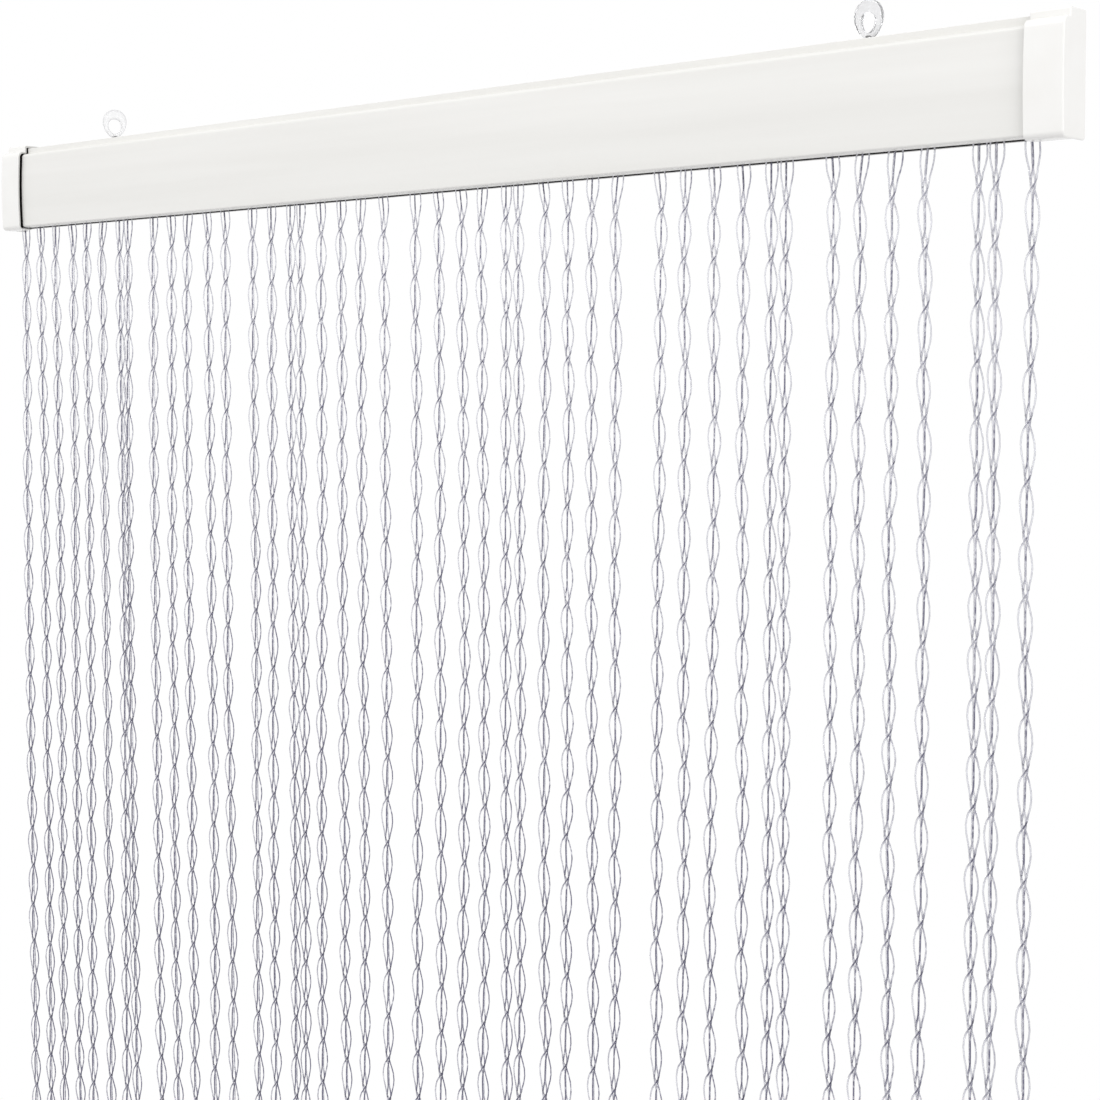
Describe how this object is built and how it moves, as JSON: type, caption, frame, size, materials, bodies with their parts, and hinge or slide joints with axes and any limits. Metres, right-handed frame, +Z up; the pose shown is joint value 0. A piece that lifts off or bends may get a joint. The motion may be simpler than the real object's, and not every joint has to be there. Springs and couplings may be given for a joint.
{
  "type": "insect door curtain",
  "caption": "Hanging insect curtain for a doorway: a white rail with end caps and two swivelling eyes, and a row of clear twisted strings.",
  "frame": {"origin": "middle of the rail's flat back, which lies against the wall over the doorway", "axes": "+X along the rail from its left end to its right end seen from the front, +Y out of the rail's back, so the front faces -Y, +Z up"},
  "size_m": [0.9, 0.024, 2.021],
  "materials": {
    "rail_plastic": "satin extruded white plastic",
    "cap_plastic": "glossy moulded white plastic",
    "inner_plastic": "moulded white plastic",
    "eye_plastic": "clear moulded plastic",
    "string_plastic": "clear soft plastic"
  },
  "bodies": {
    "rail_assembly": {"rail": "rail_plastic", "end_cap_left": "cap_plastic", "end_cap_right": "cap_plastic", "hook_strip_1": "inner_plastic", "hook_strip_2": "inner_plastic", "hook_strip_3": "inner_plastic", "hook_strip_4": "inner_plastic", "hook_strip_5": "inner_plastic", "hook_strip_6": "inner_plastic"},
    "glider_left": {"glider_left": "inner_plastic"},
    "hanging_eye_left": {"hanging_eye_left": "eye_plastic"},
    "glider_right": {"glider_right": "inner_plastic"},
    "hanging_eye_right": {"hanging_eye_right": "eye_plastic"},
    "string_01": {"string_01": "string_plastic"},
    "string_02": {"string_02": "string_plastic"},
    "string_03": {"string_03": "string_plastic"},
    "string_04": {"string_04": "string_plastic"},
    "string_05": {"string_05": "string_plastic"},
    "string_06": {"string_06": "string_plastic"},
    "string_07": {"string_07": "string_plastic"},
    "string_08": {"string_08": "string_plastic"},
    "string_09": {"string_09": "string_plastic"},
    "string_10": {"string_10": "string_plastic"},
    "string_11": {"string_11": "string_plastic"},
    "string_12": {"string_12": "string_plastic"},
    "string_13": {"string_13": "string_plastic"},
    "string_14": {"string_14": "string_plastic"},
    "string_15": {"string_15": "string_plastic"},
    "string_16": {"string_16": "string_plastic"},
    "string_17": {"string_17": "string_plastic"},
    "string_18": {"string_18": "string_plastic"},
    "string_19": {"string_19": "string_plastic"},
    "string_20": {"string_20": "string_plastic"},
    "string_21": {"string_21": "string_plastic"},
    "string_22": {"string_22": "string_plastic"},
    "string_23": {"string_23": "string_plastic"},
    "string_24": {"string_24": "string_plastic"},
    "string_25": {"string_25": "string_plastic"},
    "string_26": {"string_26": "string_plastic"},
    "string_27": {"string_27": "string_plastic"},
    "string_28": {"string_28": "string_plastic"},
    "string_29": {"string_29": "string_plastic"},
    "string_30": {"string_30": "string_plastic"},
    "string_31": {"string_31": "string_plastic"},
    "string_32": {"string_32": "string_plastic"},
    "string_33": {"string_33": "string_plastic"},
    "string_34": {"string_34": "string_plastic"},
    "string_35": {"string_35": "string_plastic"},
    "string_36": {"string_36": "string_plastic"},
    "string_37": {"string_37": "string_plastic"},
    "string_38": {"string_38": "string_plastic"},
    "string_39": {"string_39": "string_plastic"},
    "string_40": {"string_40": "string_plastic"},
    "string_41": {"string_41": "string_plastic"},
    "string_42": {"string_42": "string_plastic"},
    "string_43": {"string_43": "string_plastic"},
    "string_44": {"string_44": "string_plastic"}
  },
  "joints": [
    {"name": "glider_left_slide", "type": "slide", "parent": "rail_assembly", "child": "glider_left", "axis": [1, 0, 0], "range_m": [-0.09, 0.3]},
    {"name": "hanging_eye_left_swivel", "type": "hinge", "parent": "glider_left", "child": "hanging_eye_left", "pos_m": [-0.3275, -0.0065, 0.0298], "axis": [0, 0, 1], "continuous": true},
    {"name": "glider_right_slide", "type": "slide", "parent": "rail_assembly", "child": "glider_right", "axis": [1, 0, 0], "range_m": [-0.3, 0.09]},
    {"name": "hanging_eye_right_swivel", "type": "hinge", "parent": "glider_right", "child": "hanging_eye_right", "pos_m": [0.3275, -0.0065, 0.0298], "axis": [0, 0, 1], "continuous": true},
    {"name": "string_01_swing", "type": "hinge", "parent": "rail_assembly", "child": "string_01", "pos_m": [-0.44222, -0.0068, -0.021], "axis": [1, 0, 0], "range_deg": [-10, 10]},
    {"name": "string_02_swing", "type": "hinge", "parent": "rail_assembly", "child": "string_02", "pos_m": [-0.4223, -0.0068, -0.021], "axis": [1, 0, 0], "range_deg": [-10, 10]},
    {"name": "string_03_swing", "type": "hinge", "parent": "rail_assembly", "child": "string_03", "pos_m": [-0.40238, -0.0068, -0.021], "axis": [1, 0, 0], "range_deg": [-10, 10]},
    {"name": "string_04_swing", "type": "hinge", "parent": "rail_assembly", "child": "string_04", "pos_m": [-0.38246, -0.0068, -0.021], "axis": [1, 0, 0], "range_deg": [-10, 10]},
    {"name": "string_05_swing", "type": "hinge", "parent": "rail_assembly", "child": "string_05", "pos_m": [-0.36254, -0.0068, -0.021], "axis": [1, 0, 0], "range_deg": [-10, 10]},
    {"name": "string_06_swing", "type": "hinge", "parent": "rail_assembly", "child": "string_06", "pos_m": [-0.34262, -0.0068, -0.021], "axis": [1, 0, 0], "range_deg": [-10, 10]},
    {"name": "string_07_swing", "type": "hinge", "parent": "rail_assembly", "child": "string_07", "pos_m": [-0.3227, -0.0068, -0.021], "axis": [1, 0, 0], "range_deg": [-10, 10]},
    {"name": "string_08_swing", "type": "hinge", "parent": "rail_assembly", "child": "string_08", "pos_m": [-0.31274, -0.0068, -0.021], "axis": [1, 0, 0], "range_deg": [-10, 10]},
    {"name": "string_09_swing", "type": "hinge", "parent": "rail_assembly", "child": "string_09", "pos_m": [-0.28286, -0.0068, -0.021], "axis": [1, 0, 0], "range_deg": [-10, 10]},
    {"name": "string_10_swing", "type": "hinge", "parent": "rail_assembly", "child": "string_10", "pos_m": [-0.26294, -0.0068, -0.021], "axis": [1, 0, 0], "range_deg": [-10, 10]},
    {"name": "string_11_swing", "type": "hinge", "parent": "rail_assembly", "child": "string_11", "pos_m": [-0.24302, -0.0068, -0.021], "axis": [1, 0, 0], "range_deg": [-10, 10]},
    {"name": "string_12_swing", "type": "hinge", "parent": "rail_assembly", "child": "string_12", "pos_m": [-0.2231, -0.0068, -0.021], "axis": [1, 0, 0], "range_deg": [-10, 10]},
    {"name": "string_13_swing", "type": "hinge", "parent": "rail_assembly", "child": "string_13", "pos_m": [-0.20318, -0.0068, -0.021], "axis": [1, 0, 0], "range_deg": [-10, 10]},
    {"name": "string_14_swing", "type": "hinge", "parent": "rail_assembly", "child": "string_14", "pos_m": [-0.1733, -0.0068, -0.021], "axis": [1, 0, 0], "range_deg": [-10, 10]},
    {"name": "string_15_swing", "type": "hinge", "parent": "rail_assembly", "child": "string_15", "pos_m": [-0.15338, -0.0068, -0.021], "axis": [1, 0, 0], "range_deg": [-10, 10]},
    {"name": "string_16_swing", "type": "hinge", "parent": "rail_assembly", "child": "string_16", "pos_m": [-0.13346, -0.0068, -0.021], "axis": [1, 0, 0], "range_deg": [-10, 10]},
    {"name": "string_17_swing", "type": "hinge", "parent": "rail_assembly", "child": "string_17", "pos_m": [-0.1235, -0.0068, -0.021], "axis": [1, 0, 0], "range_deg": [-10, 10]},
    {"name": "string_18_swing", "type": "hinge", "parent": "rail_assembly", "child": "string_18", "pos_m": [-0.10358, -0.0068, -0.021], "axis": [1, 0, 0], "range_deg": [-10, 10]},
    {"name": "string_19_swing", "type": "hinge", "parent": "rail_assembly", "child": "string_19", "pos_m": [-0.08366, -0.0068, -0.021], "axis": [1, 0, 0], "range_deg": [-10, 10]},
    {"name": "string_20_swing", "type": "hinge", "parent": "rail_assembly", "child": "string_20", "pos_m": [-0.06374, -0.0068, -0.021], "axis": [1, 0, 0], "range_deg": [-10, 10]},
    {"name": "string_21_swing", "type": "hinge", "parent": "rail_assembly", "child": "string_21", "pos_m": [-0.04382, -0.0068, -0.021], "axis": [1, 0, 0], "range_deg": [-10, 10]},
    {"name": "string_22_swing", "type": "hinge", "parent": "rail_assembly", "child": "string_22", "pos_m": [-0.01394, -0.0068, -0.021], "axis": [1, 0, 0], "range_deg": [-10, 10]},
    {"name": "string_23_swing", "type": "hinge", "parent": "rail_assembly", "child": "string_23", "pos_m": [0.00598, -0.0068, -0.021], "axis": [1, 0, 0], "range_deg": [-10, 10]},
    {"name": "string_24_swing", "type": "hinge", "parent": "rail_assembly", "child": "string_24", "pos_m": [0.0259, -0.0068, -0.021], "axis": [1, 0, 0], "range_deg": [-10, 10]},
    {"name": "string_25_swing", "type": "hinge", "parent": "rail_assembly", "child": "string_25", "pos_m": [0.04582, -0.0068, -0.021], "axis": [1, 0, 0], "range_deg": [-10, 10]},
    {"name": "string_26_swing", "type": "hinge", "parent": "rail_assembly", "child": "string_26", "pos_m": [0.06574, -0.0068, -0.021], "axis": [1, 0, 0], "range_deg": [-10, 10]},
    {"name": "string_27_swing", "type": "hinge", "parent": "rail_assembly", "child": "string_27", "pos_m": [0.0757, -0.0068, -0.021], "axis": [1, 0, 0], "range_deg": [-10, 10]},
    {"name": "string_28_swing", "type": "hinge", "parent": "rail_assembly", "child": "string_28", "pos_m": [0.09562, -0.0068, -0.021], "axis": [1, 0, 0], "range_deg": [-10, 10]},
    {"name": "string_29_swing", "type": "hinge", "parent": "rail_assembly", "child": "string_29", "pos_m": [0.11554, -0.0068, -0.021], "axis": [1, 0, 0], "range_deg": [-10, 10]},
    {"name": "string_30_swing", "type": "hinge", "parent": "rail_assembly", "child": "string_30", "pos_m": [0.13546, -0.0068, -0.021], "axis": [1, 0, 0], "range_deg": [-10, 10]},
    {"name": "string_31_swing", "type": "hinge", "parent": "rail_assembly", "child": "string_31", "pos_m": [0.15538, -0.0068, -0.021], "axis": [1, 0, 0], "range_deg": [-10, 10]},
    {"name": "string_32_swing", "type": "hinge", "parent": "rail_assembly", "child": "string_32", "pos_m": [0.18526, -0.0068, -0.021], "axis": [1, 0, 0], "range_deg": [-10, 10]},
    {"name": "string_33_swing", "type": "hinge", "parent": "rail_assembly", "child": "string_33", "pos_m": [0.20518, -0.0068, -0.021], "axis": [1, 0, 0], "range_deg": [-10, 10]},
    {"name": "string_34_swing", "type": "hinge", "parent": "rail_assembly", "child": "string_34", "pos_m": [0.2251, -0.0068, -0.021], "axis": [1, 0, 0], "range_deg": [-10, 10]},
    {"name": "string_35_swing", "type": "hinge", "parent": "rail_assembly", "child": "string_35", "pos_m": [0.24502, -0.0068, -0.021], "axis": [1, 0, 0], "range_deg": [-10, 10]},
    {"name": "string_36_swing", "type": "hinge", "parent": "rail_assembly", "child": "string_36", "pos_m": [0.26494, -0.0068, -0.021], "axis": [1, 0, 0], "range_deg": [-10, 10]},
    {"name": "string_37_swing", "type": "hinge", "parent": "rail_assembly", "child": "string_37", "pos_m": [0.2749, -0.0068, -0.021], "axis": [1, 0, 0], "range_deg": [-10, 10]},
    {"name": "string_38_swing", "type": "hinge", "parent": "rail_assembly", "child": "string_38", "pos_m": [0.30478, -0.0068, -0.021], "axis": [1, 0, 0], "range_deg": [-10, 10]},
    {"name": "string_39_swing", "type": "hinge", "parent": "rail_assembly", "child": "string_39", "pos_m": [0.3247, -0.0068, -0.021], "axis": [1, 0, 0], "range_deg": [-10, 10]},
    {"name": "string_40_swing", "type": "hinge", "parent": "rail_assembly", "child": "string_40", "pos_m": [0.34462, -0.0068, -0.021], "axis": [1, 0, 0], "range_deg": [-10, 10]},
    {"name": "string_41_swing", "type": "hinge", "parent": "rail_assembly", "child": "string_41", "pos_m": [0.36454, -0.0068, -0.021], "axis": [1, 0, 0], "range_deg": [-10, 10]},
    {"name": "string_42_swing", "type": "hinge", "parent": "rail_assembly", "child": "string_42", "pos_m": [0.39442, -0.0068, -0.021], "axis": [1, 0, 0], "range_deg": [-10, 10]},
    {"name": "string_43_swing", "type": "hinge", "parent": "rail_assembly", "child": "string_43", "pos_m": [0.40438, -0.0068, -0.021], "axis": [1, 0, 0], "range_deg": [-10, 10]},
    {"name": "string_44_swing", "type": "hinge", "parent": "rail_assembly", "child": "string_44", "pos_m": [0.4243, -0.0068, -0.021], "axis": [1, 0, 0], "range_deg": [-10, 10]}
  ]
}
